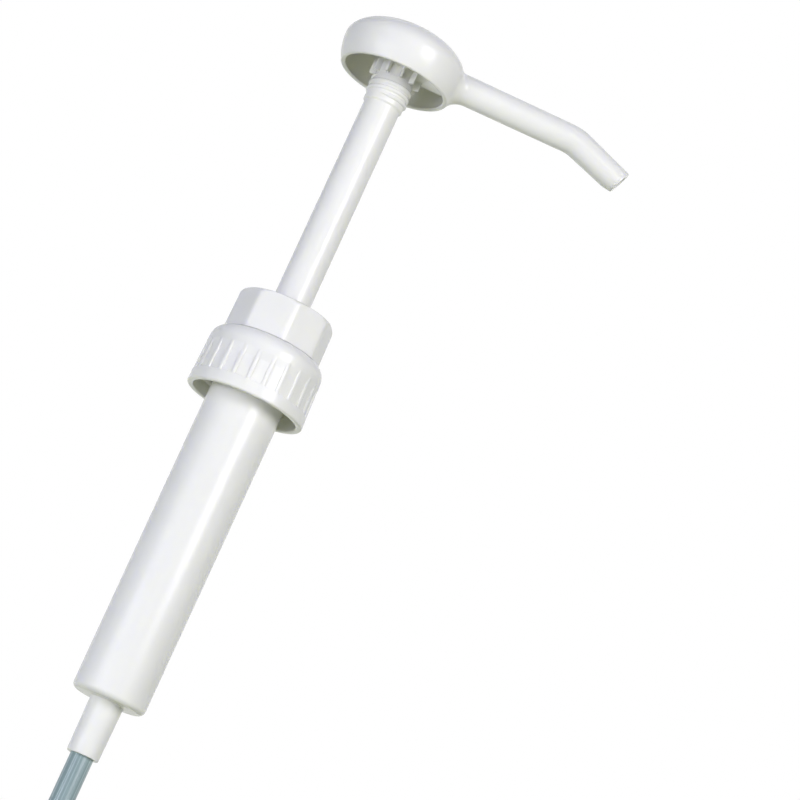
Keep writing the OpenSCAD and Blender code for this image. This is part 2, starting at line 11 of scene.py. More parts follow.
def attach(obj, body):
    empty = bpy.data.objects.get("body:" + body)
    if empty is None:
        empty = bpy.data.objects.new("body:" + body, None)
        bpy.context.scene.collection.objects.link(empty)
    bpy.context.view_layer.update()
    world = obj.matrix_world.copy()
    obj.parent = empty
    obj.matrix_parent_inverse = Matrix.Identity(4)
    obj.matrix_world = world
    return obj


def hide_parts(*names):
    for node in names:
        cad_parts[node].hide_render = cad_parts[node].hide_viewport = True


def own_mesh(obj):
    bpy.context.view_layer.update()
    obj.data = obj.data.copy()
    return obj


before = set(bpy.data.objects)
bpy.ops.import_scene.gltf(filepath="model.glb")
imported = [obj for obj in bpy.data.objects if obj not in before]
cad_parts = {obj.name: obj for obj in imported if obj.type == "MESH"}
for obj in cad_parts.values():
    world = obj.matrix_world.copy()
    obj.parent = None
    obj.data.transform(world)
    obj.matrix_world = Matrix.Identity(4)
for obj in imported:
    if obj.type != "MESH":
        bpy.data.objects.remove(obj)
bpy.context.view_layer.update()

# Dip tube
# A straight length of extruded natural polyethylene, 8 mm across with a 1 mm wall.
# It is cut square at both ends and pressed into the barrel's tail.
MM = 0.001


def linear(code):
    """Turn an sRGB hex colour into the linear colour that a shader takes."""
    parts = [int(code[i:i + 2], 16) / 255 for i in (1, 3, 5)]
    return tuple(c / 12.92 if c <= 0.04045 else ((c + 0.055) / 1.055) ** 2.4 for c in parts) + (1.0,)


def feed(tree, node, values):
    """Set a node's input sockets, or link them where the value is another node's output."""
    for key, value in values.items():
        if isinstance(value, bpy.types.NodeSocket):
            tree.links.new(value, node.inputs[key])
        else:
            node.inputs[key].default_value = value


def add(tree, kind, values=None, **settings):
    """Add a node, set its properties and feed its input sockets."""
    node = tree.nodes.new(kind)
    for key, value in settings.items():
        setattr(node, key, value)
    feed(tree, node, values or {})
    return node


def noise(tree, place, size, detail):
    """A noise pattern with features of about this size."""
    return add(tree, "ShaderNodeTexNoise", {
        "Vector": place, "Scale": 1 / size, "Detail": detail}).outputs["Fac"]


def between(tree, factor, low, high):
    """A colour that goes from one sRGB hex colour to another as a factor goes from 0 to 1."""
    low_socket, high_socket, colour = 6, 7, 2
    mix = add(tree, "ShaderNodeMix", {
        "Factor": factor, low_socket: linear(low), high_socket: linear(high)}, data_type="RGBA")
    return mix.outputs[colour]


def spread(tree, factor, low, high):
    """A number that goes from low to high as a factor goes from 0 to 1."""
    return add(tree, "ShaderNodeMapRange", {
        "Value": factor, "To Min": low, "To Max": high}).outputs["Result"]


def start_material(name):
    """A new material's tree, its surface shader and the object's own coordinates."""
    material = bpy.data.materials.new(name)
    material.use_nodes = True
    tree = material.node_tree
    place = add(tree, "ShaderNodeTexCoord").outputs["Object"]
    return material, tree, tree.nodes["Principled BSDF"], place


def softened(outline, arc_step=math.radians(11), least_steps=3):
    """Round the corners of a closed outline of (r, z) or (r, z, rounding) points, in mm."""
    points = []
    for i, corner in enumerate(outline):
        here = Vector(corner[:2])
        rounding = corner[2] if len(corner) > 2 else 0
        if not rounding:
            points.append(here)
            continue
        back = (Vector(outline[i - 1][:2]) - here).normalized()
        ahead = (Vector(outline[(i + 1) % len(outline)][:2]) - here).normalized()
        half = back.angle(ahead) / 2
        centre = here + (back + ahead).normalized() * rounding / math.sin(half)
        first = here + back * rounding / math.tan(half) - centre
        last = here + ahead * rounding / math.tan(half) - centre
        turn = first.angle_signed(last)
        steps = max(least_steps, round(abs(turn) / arc_step))
        for k in range(steps + 1):
            a = -turn * k / steps
            spin = Vector((
                first.x * math.cos(a) - first.y * math.sin(a),
                first.x * math.sin(a) + first.y * math.cos(a)))
            points.append(centre + spin)
    return [tuple(p) for p in points]


def weld(mesh, same_place, drop_slivers=False):
    """Merge the points of a mesh that lie in the same place, and drop faces without area if asked."""
    work = bmesh.new()
    work.from_mesh(mesh)
    bmesh.ops.remove_doubles(work, verts=work.verts, dist=same_place)
    if drop_slivers:
        bmesh.ops.dissolve_degenerate(work, edges=work.edges, dist=same_place)
    work.to_mesh(mesh)
    work.free()


def make_piece(name, points, faces, material, crease=32):
    """A mesh object at the origin from points in mm, smooth but for edges sharper than crease."""
    mesh = bpy.data.meshes.new(name)
    mesh.from_pydata([Vector(p) * MM for p in points], [], faces)
    weld(mesh, 0.0001 * MM)
    mesh.shade_smooth()
    mesh.set_sharp_from_angle(angle=math.radians(crease))
    mesh.materials.append(material)
    obj = bpy.data.objects.new(name, mesh)
    bpy.context.scene.collection.objects.link(obj)
    return obj


def wrapped(columns, rows, closed=True):
    """Faces over points listed column by column round an axis, each column closed on itself or open."""
    return [
        (i * rows + j, (i + 1) % columns * rows + j,
         (i + 1) % columns * rows + (j + 1) % rows, i * rows + (j + 1) % rows)
        for i in range(columns) for j in range(rows if closed else rows - 1)
    ]


def turned(name, outline, material, steps=192):
    """A body turned about the pump's axis from a closed outline that runs anticlockwise."""
    rows = softened(outline)
    angles = [2 * math.pi * i / steps for i in range(steps)]
    points = [(r * math.cos(a), r * math.sin(a), z) for a in angles for r, z in rows]
    return make_piece(name, points, wrapped(steps, len(rows)), material)


# Extruded low-density polyethylene: cloudy grey-green, with a soft gloss and a painted sheen of lighter lines
# along its length, where light runs in the clear wall.
cloudy_polyethylene, tree, shader, place = start_material("cloudy_polyethylene_extruded")
line_width, line_length = 0.8 * MM, 90 * MM
along = add(tree, "ShaderNodeMapping", {
    "Vector": place, "Scale": (1 / line_width, 1 / line_width, 1 / line_length)})
streaks = noise(tree, along.outputs["Vector"], 1.0, 2.0)
# Painted sheen: these lighter lines in the colour stand in for light running along the tube's wall.
painted_sheen_lines = add(tree, "ShaderNodeMapRange", {
    "Value": streaks, "From Min": 0.42, "From Max": 0.68}, interpolation_type="SMOOTHSTEP")
feed(tree, shader, {
    "Base Color": between(tree, painted_sheen_lines.outputs["Result"], "#889FA0", "#B6C9CA"),
    "Roughness": spread(tree, streaks, 0.24, 0.36),
    "IOR": 1.51, "Transmission Weight": 0.12})

tube_r, tube_bore, tube_top, tube_end = 4.0, 3.0, -133.895, -279.895
tube = turned("dip_tube_extrusion", [
    (tube_bore, tube_end, 0.08), (tube_r, tube_end, 0.1),
    (tube_r, tube_top, 0.1), (tube_bore, tube_top, 0.08)],
    cloudy_polyethylene, steps=96)
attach(tube, "body")
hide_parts("dip_tube")

# Barrel
# The pump's cylinder, one long injection moulding in white polypropylene, drafted to leave its tool.
# Its flange sits under the closure, its neck takes the collar and its tail grips the dip tube.


def relief(tree, height, strength, depth):
    """A bump in the surface that follows a pattern."""
    return add(tree, "ShaderNodeBump", {
        "Height": height, "Strength": strength, "Distance": depth}).outputs["Normal"]


# Moulded polypropylene: clean cool white, glossy, light soaks a little way into the wall,
# and a faint ripple from the tool's polish. The ripple is drawn coarser than life, so that it shows.
white_polypropylene, tree, shader, place = start_material("white_polypropylene_moulded")
flow = noise(tree, place, 14 * MM, 2.0)
ripple = noise(tree, place, 3 * MM, 1.0)
feed(tree, shader, {
    "Base Color": between(tree, flow, "#ECECE5", "#F1F1EA"),
    "Roughness": spread(tree, ripple, 0.19, 0.25),
    "Normal": relief(tree, ripple, 0.25, 0.03 * MM),
    "IOR": 1.49, "Specular IOR Level": 0.36,
    "Subsurface Weight": 0.35, "Subsurface Radius": (1.0, 1.0, 0.6), "Subsurface Scale": 2.0 * MM})

barrel_r, barrel_foot_r, bore_r, barrel_foot, bore_floor = 13.1, 12.8, 11.2, -126.0, -123.0
flange_r, flange_low, flange_high, neck_r, neck_top = 17.2, 1.5, 3.5, 13.8, 14.5
tail_r, tail_root_r, tail_bore, tail_end = 5.55, 5.8, 4.05, -145.395
ball_room_r, inlet_r, seat_high, seat_low = 4.2, 2.5, -130.595, -132.295
barrel = turned("barrel_moulding", [
    (tail_bore, tail_end, 0.15), (tail_r, tail_end, 0.4), (tail_root_r, barrel_foot, 0.35),
    (barrel_foot_r, barrel_foot, 2.0), (barrel_r, flange_low), (flange_r, flange_low, 0.2),
    (flange_r, flange_high, 0.2), (neck_r, flange_high), (neck_r, neck_top, 0.3), (bore_r, neck_top, 0.3),
    (bore_r, bore_floor, 0.4), (ball_room_r, bore_floor, 0.2), (ball_room_r, seat_high), (inlet_r, seat_low),
    (inlet_r, tube_top), (tail_bore, tube_top)],
    white_polypropylene)


def rod_along_x(name, radius, height, ends, material, steps):
    """A closed round rod that lies along X at a height, between two places in x."""
    ring = [2 * math.pi * k / steps for k in range(steps)]
    points = [(x, radius * math.cos(a), height + radius * math.sin(a)) for x in ends for a in ring]
    sides = [(k, (k + 1) % steps, (k + 1) % steps + steps, k + steps) for k in range(steps)]
    caps = [tuple(range(steps - 1, -1, -1)), tuple(range(steps, 2 * steps))]
    return make_piece(name, points, sides + caps, material)


def carve(piece, operation, tools, crease=32):
    """Join tools to a piece, or cut them from it, and keep the result as its plain mesh."""
    for tool in tools:
        step = piece.modifiers.new(tool.name, "BOOLEAN")
        step.operation = operation
        step.object = tool
    piece.data = bpy.data.meshes.new_from_object(
        piece.evaluated_get(bpy.context.evaluated_depsgraph_get()))
    piece.modifiers.clear()
    weld(piece.data, 0.001 * MM, drop_slivers=True)
    piece.data.set_sharp_from_angle(angle=math.radians(crease))
    for tool in tools:
        bpy.data.objects.remove(tool)


vent_r, vent_z, drill_path = 0.8, -5.0, (-15.0, -9.0)
drill = rod_along_x("vent_drill", vent_r, vent_z, drill_path, white_polypropylene, steps=24)
carve(barrel, "DIFFERENCE", [drill])
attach(barrel, "body")
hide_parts("cylinder")

# Inlet valve
# A slotted cage of natural polyethylene clipped on the barrel's floor, and a loose ball under it.
# The ball is stainless steel, ground and polished, and lifts off its seat on the up stroke.

# Moulded natural polyethylene: waxy, off-white, with a satin skin and slightly uneven colour.
natural_polyethylene, tree, shader, place = start_material("natural_polyethylene_moulded")
clouds = noise(tree, place, 6 * MM, 3.0)
feed(tree, shader, {
    "Base Color": between(tree, clouds, "#DAD6C6", "#E8E5D8"),
    "Roughness": spread(tree, clouds, 0.42, 0.56),
    "Normal": relief(tree, clouds, 0.3, 0.05 * MM),
    "IOR": 1.51, "Subsurface Weight": 0.2, "Subsurface Scale": 1.5 * MM})

# Polished stainless steel: a clear mirror with hardly visible lapping marks.
polished_stainless, tree, shader, place = start_material("stainless_steel_polished")
lapping = noise(tree, place, 0.8 * MM, 3.0)
feed(tree, shader, {
    "Base Color": linear("#C9CBCF"), "Metallic": 1.0, "Roughness": spread(tree, lapping, 0.05, 0.11)})


def dress(node, material):
    """Give a solid that keeps its own shape its finished material."""
    for place_in_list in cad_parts[node].material_slots:
        place_in_list.material = material


dress("inlet_valve_cage", natural_polyethylene)
dress("inlet_ball", polished_stainless)

# Spring
# A compression spring of 1.3 mm stainless wire with thirteen turns, the end ones wound close.
# It stands on the cage and lifts the piston, and it packs down to a fifth of its length.

# Drawn stainless wire: bright grey, with a fine uneven gloss from the die.
drawn_stainless, tree, shader, place = start_material("stainless_wire_drawn")
die_marks = noise(tree, place, 0.5 * MM, 4.0)
feed(tree, shader, {
    "Base Color": between(tree, die_marks, "#A9ACB1", "#C2C5C9"), "Metallic": 1.0,
    "Roughness": spread(tree, die_marks, 0.2, 0.38)})


def start_tree(name, sizes):
    """A new geometry tree with named inputs, given as {name: socket type}."""
    tree = bpy.data.node_groups.new(name, "GeometryNodeTree")
    tree.interface.new_socket("Geometry", in_out="OUTPUT", socket_type="NodeSocketGeometry")
    for key, kind in sizes.items():
        tree.interface.new_socket(key, in_out="INPUT", socket_type=kind)
    return tree, add(tree, "NodeGroupInput").outputs


def end_tree(tree, geometry, material):
    """Close a geometry tree: realise its instances and give them their material."""
    whole = add(tree, "GeometryNodeRealizeInstances", {"Geometry": geometry})
    dressed = add(tree, "GeometryNodeSetMaterial", {
        "Geometry": whole.outputs["Geometry"], "Material": material})
    add(tree, "NodeGroupOutput", {"Geometry": dressed.outputs["Geometry"]})


def grown(name, tree, sizes):
    """Run a geometry tree once with these sizes and keep the result as a plain mesh object."""
    obj = bpy.data.objects.new(name, bpy.data.meshes.new(name))
    bpy.context.scene.collection.objects.link(obj)
    growth = obj.modifiers.new(name, "NODES")
    growth.node_group = tree
    for socket in tree.interface.items_tree:
        if socket.in_out == "INPUT":
            growth[socket.identifier] = sizes[socket.name]
    mesh = bpy.data.meshes.new_from_object(obj.evaluated_get(bpy.context.evaluated_depsgraph_get()))
    obj.modifiers.remove(growth)
    obj.data = mesh
    return obj


def sum_of(tree, operation, *values):
    """One step of arithmetic between sockets or numbers."""
    return add(tree, "ShaderNodeMath", dict(enumerate(values)), operation=operation).outputs[0]


def swept(tree, count, radius, angle, height, section, scale=1.0):
    """A section swept along a curve of count points that winds round the pump's axis."""
    straight = add(tree, "GeometryNodeResampleCurve", {
        "Curve": add(tree, "GeometryNodeCurvePrimitiveLine").outputs["Curve"], "Count": count})
    wound = add(tree, "GeometryNodeSetPosition", {
        "Geometry": straight.outputs["Curve"],
        "Position": add(tree, "ShaderNodeCombineXYZ", {
            "X": sum_of(tree, "MULTIPLY", radius, sum_of(tree, "COSINE", angle)),
            "Y": sum_of(tree, "MULTIPLY", radius, sum_of(tree, "SINE", angle)),
            "Z": height}).outputs["Vector"]})
    upright = add(tree, "GeometryNodeSetCurveNormal", {"Curve": wound.outputs["Geometry"]}, mode="Z_UP")
    body = add(tree, "GeometryNodeCurveToMesh", {
        "Curve": upright.outputs["Curve"], "Profile Curve": section, "Scale": scale, "Fill Caps": True})
    return add(tree, "GeometryNodeSetShadeSmooth", {"Geometry": body.outputs["Mesh"]}).outputs["Geometry"]


spring_turns, points_per_turn = 13, 40
coil, size = start_tree("coil_of_wire", {
    "Turns": "NodeSocketFloat", "Coil radius": "NodeSocketFloat", "Wire radius": "NodeSocketFloat",
    "Lowest centre": "NodeSocketFloat", "End pitch": "NodeSocketFloat", "Middle pitch": "NodeSocketFloat",
    "Material": "NodeSocketMaterial"})
share = add(coil, "GeometryNodeSplineParameter").outputs["Factor"]
turn = sum_of(coil, "MULTIPLY", share, size["Turns"])
angle = sum_of(coil, "MULTIPLY", turn, 2 * math.pi)
last_turn = sum_of(coil, "SUBTRACT", size["Turns"], 1.0)
close_low = sum_of(coil, "MINIMUM", turn, 1.0)
close_high = sum_of(coil, "MAXIMUM", sum_of(coil, "SUBTRACT", turn, last_turn), 0.0)
open_turns = sum_of(
    coil, "SUBTRACT", sum_of(coil, "MINIMUM", sum_of(coil, "MAXIMUM", turn, 1.0), last_turn), 1.0)
rise_close = sum_of(coil, "MULTIPLY", sum_of(coil, "ADD", close_low, close_high), size["End pitch"])
rise_open = sum_of(coil, "MULTIPLY", open_turns, size["Middle pitch"])
height = sum_of(coil, "ADD", size["Lowest centre"], sum_of(coil, "ADD", rise_close, rise_open))
wire_section = add(coil, "GeometryNodeCurvePrimitiveCircle", {
    "Resolution": 12, "Radius": size["Wire radius"]}).outputs["Curve"]
wire = swept(
    coil, spring_turns * points_per_turn + 1, size["Coil radius"], angle, height, wire_section)
end_tree(coil, wire, size["Material"])

spring = grown("coil_spring", coil, {
    "Turns": float(spring_turns), "Coil radius": 8.35 * MM, "Wire radius": 0.65 * MM,
    "Lowest centre": -120.25 * MM, "End pitch": 1.8 * MM, "Middle pitch": 9.4 * MM,
    "Material": drawn_stainless})
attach(spring, "body")
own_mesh(spring)
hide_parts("spring")

# Piston
# A two-lipped piston in natural polyethylene that runs in the barrel's bore.
# It turns freely on the stem's foot and carries the stem's load to the spring.
dress("piston", natural_polyethylene)

# Outlet valve
# A flanged plug of natural polyethylene pressed in the stem's foot, with a cone for the upper ball.
# The stainless ball lifts on the down stroke and lets the dose up the stem.
dress("outlet_valve_seat", natural_polyethylene)
dress("outlet_ball", polished_stainless)

# Neck gasket
# A flat ring punched from polyethylene foam sheet.
# It lies under the barrel's flange and seals on the lip of the jug.

# Pressed polyethylene foam: matte off-white with fine closed cells, drawn coarser so that they show.
foam, tree, shader, place = start_material("polyethylene_foam_pressed")
cells = add(tree, "ShaderNodeTexVoronoi", {"Vector": place, "Scale": 1 / (0.5 * MM)}).outputs["Distance"]
feed(tree, shader, {
    "Base Color": between(tree, cells, "#DDDCD5", "#C6C5BD"), "Roughness": 0.85,
    "Normal": relief(tree, cells, 0.6, 0.1 * MM)})
dress("neck_gasket", foam)

# Closure
# The ribbed screw cap for the jug's neck, injection moulded in white polypropylene.
# It turns freely between the barrel's flange and the collar. Its jug thread runs a turn and a quarter inside.
skirt_low, skirt_r, skirt_bore, skirt_draft = -17.0, 21.0, 18.8, 0.6
shoulder_low, shoulder_round, closure_top, closure_hole = 0.5, 4.98, 5.5, 14.1
rib_low, rib_high, panel_slope, panel_depth = -12.5, -1.7, 3.0, 0.55
rib_count, rib_turn, rib_width, rib_root, rib_ease = 24, math.radians(8), 1.4, 1.2, 0.22
flange_room = 17.5


def side_r(z):
    """Radius of the closure's drafted side at a height."""
    return skirt_r - skirt_draft * (z - skirt_low) / (shoulder_low - skirt_low)


closure = turned("closure_moulding", [
    (skirt_bore, skirt_low, 0.5), (skirt_r, skirt_low, 0.7),
    (side_r(rib_low), rib_low, 0.3), (side_r(rib_low) - panel_depth, rib_low),
    (side_r(rib_high - panel_slope) - panel_depth, rib_high - panel_slope, 0.5),
    (side_r(rib_high), rib_high, 0.5),
    (side_r(shoulder_low), shoulder_low), (side_r(shoulder_low), closure_top, shoulder_round),
    (closure_hole, closure_top, 0.3), (closure_hole, flange_high, 0.2), (flange_room, flange_high, 0.3),
    (skirt_bore, flange_low)],
    white_polypropylene)
ring_of_copies, size = start_tree("ring_of_copies", {
    "Copy": "NodeSocketObject", "Count": "NodeSocketInt", "First angle": "NodeSocketFloat",
    "Material": "NodeSocketMaterial"})
step = sum_of(ring_of_copies, "DIVIDE", 2 * math.pi, size["Count"])
heading = sum_of(
    ring_of_copies, "MULTIPLY_ADD", add(ring_of_copies, "GeometryNodeInputIndex").outputs[0],
    step, size["First angle"])
copies = add(ring_of_copies, "GeometryNodeInstanceOnPoints", {
    "Points": add(ring_of_copies, "GeometryNodePoints", {"Count": size["Count"]}).outputs[0],
    "Instance": add(ring_of_copies, "GeometryNodeObjectInfo", {"Object": size["Copy"]}).outputs["Geometry"],
    "Rotation": add(ring_of_copies, "FunctionNodeAxisAngleToRotation", {
        "Axis": (0, 0, 1), "Angle": heading}).outputs[0]})
end_tree(ring_of_copies, copies.outputs["Instances"], size["Material"])


def bar(name, sections, width, edge, material):
    """An upright bar at angle 0 with eased corners at its free side: sections are (root r, free r, z)."""
    half, bulge, corners = width / 2, 0.3, 8
    points = []
    for inner, outer, z in sections:
        back = math.copysign(edge, outer - inner)
        points += [
            (inner, -half, z), (outer - back, -half, z), (outer - bulge * back, -half + bulge * edge, z),
            (outer, -half + edge, z), (outer, half - edge, z), (outer - bulge * back, half - bulge * edge, z),
            (outer - back, half, z), (inner, half, z)]
    faces = [
        (at + k, at + (k + 1) % corners, at + corners + (k + 1) % corners, at + corners + k)
        for at in range(0, len(points) - corners, corners) for k in range(corners)
    ]
    top = len(points) - corners
    ends = [tuple(range(corners - 1, -1, -1)), tuple(range(top, top + corners))]
    return make_piece(name, points, faces + ends, material, crease=50)


sunk, lap = 0.05, 0.25
rib = bar("rib", [
    (side_r(z) - rib_root, side_r(z) - drop, z) for z, drop in (
        (rib_low - lap, sunk), (rib_low, 0.0), (rib_high, 0.0), (rib_high + lap, sunk))],
    rib_width, rib_ease, white_polypropylene)
ribs = grown("closure_ribs", ring_of_copies, {
    "Copy": rib, "Count": rib_count, "First angle": rib_turn, "Material": white_polypropylene})
bpy.data.objects.remove(rib)

thread_ridge, size = start_tree("thread_ridge", {
    "Turns": "NodeSocketFloat", "Pitch": "NodeSocketFloat", "Wall radius": "NodeSocketFloat",
    "Ridge height": "NodeSocketFloat", "Ridge width": "NodeSocketFloat", "Start height": "NodeSocketFloat",
    "Start angle": "NodeSocketFloat", "Run-out": "NodeSocketFloat", "Material": "NodeSocketMaterial"})
share = add(thread_ridge, "GeometryNodeSplineParameter").outputs["Factor"]
turn = sum_of(thread_ridge, "MULTIPLY", share, size["Turns"])
angle = sum_of(thread_ridge, "MULTIPLY_ADD", turn, 2 * math.pi, size["Start angle"])
height = sum_of(thread_ridge, "MULTIPLY_ADD", turn, size["Pitch"], size["Start height"])
from_end = sum_of(thread_ridge, "MINIMUM", turn, sum_of(thread_ridge, "SUBTRACT", size["Turns"], turn))
fullness = add(thread_ridge, "ShaderNodeMapRange", {
    "Value": from_end, "From Max": size["Run-out"], "To Min": 0.03}, interpolation_type="SMOOTHSTEP")
section = add(thread_ridge, "GeometryNodeTransform", {
    "Geometry": add(thread_ridge, "GeometryNodeCurvePrimitiveCircle", {
        "Resolution": 16, "Radius": 1.0}).outputs["Curve"],
    "Scale": add(thread_ridge, "ShaderNodeCombineXYZ", {
        "X": size["Ridge height"], "Y": sum_of(thread_ridge, "DIVIDE", size["Ridge width"], 2.0),
        "Z": 1.0}).outputs["Vector"]})
ridge_points = 361
ridge = swept(
    thread_ridge, ridge_points, size["Wall radius"], angle, height,
    section.outputs["Geometry"], fullness.outputs["Result"])
end_tree(thread_ridge, ridge, size["Material"])

jug_thread = grown("closure_jug_thread", thread_ridge, {
    "Turns": 1.25, "Pitch": 4.23 * MM, "Wall radius": skirt_bore * MM, "Ridge height": 0.9 * MM,
    "Ridge width": 2.2 * MM, "Start height": -12.6 * MM, "Start angle": 0.6, "Run-out": 0.06,
    "Material": white_polypropylene})
carve(closure, "UNION", [ribs, jug_thread], crease=50)
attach(closure, "closure")
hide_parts("closure_cap")

# Stem guide and seal
# A natural polyethylene bush pressed in the barrel's mouth keeps the stem straight.
# On it lies a lip ring of moulded nitrile rubber that wipes the stem.

# Moulded nitrile rubber: nearly black, dull, with a fine even grain.
nitrile, tree, shader, place = start_material("nitrile_rubber_moulded")
grain = noise(tree, place, 0.4 * MM, 4.0)
feed(tree, shader, {
    "Base Color": between(tree, grain, "#262628", "#333336"), "Roughness": 0.62,
    "Normal": relief(tree, grain, 0.4, 0.05 * MM)})
dress("stem_guide", natural_polyethylene)
dress("stem_seal", nitrile)

# Collar
# An eight-sided nut in white polypropylene, screwed down on the barrel's neck and turned seven degrees.
# Its corners are eased, its upper edge is turned round, and its foot sits close over the closure's shoulder.
collar_low, collar_high, flat_r, corner_r = 5.56, 19.9, 16.4, 17.5
collar_draft, collar_round, flats, collar_turn, blend_width = 0.25, 2.0, 8, math.radians(7), 0.35
foot_round, foot_blend, foot_insets = 0.1, 3.0, (1.2, 0.8, 0.4)
collar_bore, foot_inner, web_low = 13.9, 15.0, 16.0
sleeve_r, sleeve_bore, sleeve_end = 9.5, 8.1, 10.2
side_rows, steps_per_flat = 14, 48
shoulder_start = side_r(shoulder_low) - shoulder_round


def collar_r(a, z):
    """Radius of the collar's outside: flats cut on a turned body, their meeting edges slightly softened."""
    up = (z - collar_low) / (collar_high - collar_low)
    sector = 2 * math.pi / flats
    off = (a - collar_turn) % sector - sector / 2
    flat = (flat_r - collar_draft * up) / math.cos(off)
    over = max(0.0, z - (collar_high - collar_round))
    turned_r = corner_r - collar_draft * up - collar_round
    turned_r += math.sqrt(max(0.0, collar_round ** 2 - over ** 2))
    near = max(blend_width - abs(flat - turned_r), 0) / blend_width
    return min(flat, turned_r) - near * near * blend_width / 4


def shoulder_fall(r):
    """How far the closure's rounded shoulder has fallen from its top at a radius."""
    return shoulder_round - math.sqrt(shoulder_round ** 2 - max(0.0, r - shoulder_start) ** 2)


def spaced(first, last, count):
    """The ends of count equal steps from first to last."""
    return [first + (last - first) * k / count for k in range(1, count + 1)]


side_low, side_high = collar_low + foot_round, collar_high - collar_round
side_levels = [side_low] + spaced(side_low, side_high, side_rows)
side_levels += [side_high + collar_round * math.sin(math.radians(a)) for a in range(6, 90, 6)]
collar_rows = [(None, collar_low, inset) for inset in foot_insets]
for a in (0, math.radians(30), math.radians(60)):
    collar_rows.append((None, collar_low + foot_round * (1 - math.cos(a)), foot_round * (1 - math.sin(a))))
collar_rows += [(None, z, 0.0) for z in side_levels]
inside = softened([
    (sleeve_bore, collar_high, 0.5), (sleeve_bore, sleeve_end, 0.2), (sleeve_r, sleeve_end, 0.2),
    (sleeve_r, web_low), (collar_bore, web_low), (collar_bore, collar_low, 0.3),
    (foot_inner, collar_low), (foot_inner, collar_high)])
collar_rows += [(r, z, 0.0) for r, z in inside[:-1]]
collar_steps = flats * steps_per_flat
collar_points = []
for i in range(collar_steps):
    a = 2 * math.pi * i / collar_steps
    for r, z, inset in collar_rows:
        reach, down = r, 0.0
        if r is None:
            reach = collar_r(a, z) - inset
            down = shoulder_fall(reach) * max(0.0, 1 - (z - collar_low) / foot_blend)
        collar_points.append((reach * math.cos(a), reach * math.sin(a), z - down))
collar = make_piece(
    "collar_moulding", collar_points, wrapped(collar_steps, len(collar_rows)), white_polypropylene, crease=40)
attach(collar, "body")
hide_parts("collar_nut")

# Stem
# The hollow push rod, one white polypropylene moulding, pressed in the head's boss at its upper spigot.
# Four fins in its bore stop the outlet ball, and a lock thread of about three turns stands under the head.
stem_bore, spigot_r, stem_r, thread_r = 4.5, 5.5, 6.5, 7.1
stem_foot, piston_stop, thread_low, stem_shoulder, stem_top = -11.9, 0.5, 99.3, 109.7, 114.8
stem = turned("stem_moulding", [
    (stem_bore, stem_foot, 0.2), (spigot_r, stem_foot, 0.2), (spigot_r, piston_stop, 0.1),
    (stem_r, piston_stop, 0.2), (stem_r, thread_low, 0.3), (thread_r, thread_low + thread_r - stem_r, 0.3),
    (thread_r, stem_shoulder, 0.1), (spigot_r, stem_shoulder, 0.1), (spigot_r, stem_top, 0.2),
    (stem_bore, stem_top, 0.2)],
    white_polypropylene)
fin_low, fin_high, fin_root, fin_free, fin_width, fin_ease = 0.03, 5.03, 4.9, 2.2, 1.0, 0.1
fin = bar(
    "fin", [(fin_root, fin_free, z) for z in (fin_high, fin_low)], fin_width, fin_ease, white_polypropylene)
fins = grown("stem_ball_stops", ring_of_copies, {
    "Copy": fin, "Count": 4, "First angle": 0.0, "Material": white_polypropylene})
bpy.data.objects.remove(fin)

lock_thread = grown("stem_lock_thread", thread_ridge, {
    "Turns": 2.95, "Pitch": 2.3 * MM, "Wall radius": thread_r * MM, "Ridge height": 0.66 * MM,
    "Ridge width": 1.5 * MM, "Start height": 101.9 * MM, "Start angle": math.radians(-120), "Run-out": 0.12,
    "Material": white_polypropylene})
carve(stem, "UNION", [fins, lock_thread])
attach(stem, "head")
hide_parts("stem")

# Push head
# A thin domed shell and its spout in one white polypropylene moulding, with a sweep where they meet.
# Under the dome a ribbed boss grips the stem, and the spout's bore opens into it.
head_r, rim_draw, side_h, crown_h, wall = 22.2, 2.4, 9.4, 10.4, 1.6
rim_z, spout_z, rim_round, inner_round = stem_shoulder, 118.0, 0.55, 0.5
widest_z = rim_z + side_h
side_fall = side_h / math.sqrt(1 - ((head_r - rim_draw) / head_r) ** 2)
spout_root, spout_bend, spout_tip, spout_bore = 5.3, 5.1, 4.75, 3.2
bend_start, bend_radius, bend_angle = 63.231, 14.0, math.radians(20)
tip_run, tip_cut = 18.931, math.radians(4.8)
bend_len = bend_radius * bend_angle
spout_len = bend_start + bend_len + tip_run
fillet_above, fillet_below, around = 2.2, 7.0, 144


def dome_reach(ahead, across, rise):
    """Distance from the spout's centre line, at the pump's axis, to the dome's skin along a direction."""
    lift = spout_z - widest_z
    for half_height in (crown_h, side_fall):
        a = (ahead ** 2 + across ** 2) / head_r ** 2 + rise ** 2 / half_height ** 2
        b = lift * rise / half_height ** 2
        c = lift ** 2 / half_height ** 2 - 1
        reach = (-b + math.sqrt(b * b - a * c)) / a
        if lift + reach * rise >= 0:
            break
    return reach


def spout_r(s):
    """Outer radius of the spout at a length along its centre line."""
    if s < bend_start:
        return spout_root + (spout_bend - spout_root) * s / bend_start
    return spout_bend + (spout_tip - spout_bend) * max(0.0, s - bend_start - bend_len) / tip_run


def spout_point(s, r, a, tilt=0.0):
    """A point around the spout: s along the centre line, r out from it, at angle a from the +Y side."""
    turn = min(max(s - bend_start, 0.0), bend_len) / bend_radius
    x = min(s, bend_start) + bend_radius * math.sin(turn)
    z = spout_z - bend_radius * (1 - math.cos(turn))
    run = max(0.0, s - bend_start - bend_len) + r * math.sin(a) * math.tan(tilt)
    up = r * math.sin(a)
    return (x + run * math.cos(turn) + up * math.sin(turn), r * math.cos(a),
            z - run * math.sin(turn) + up * math.cos(turn))


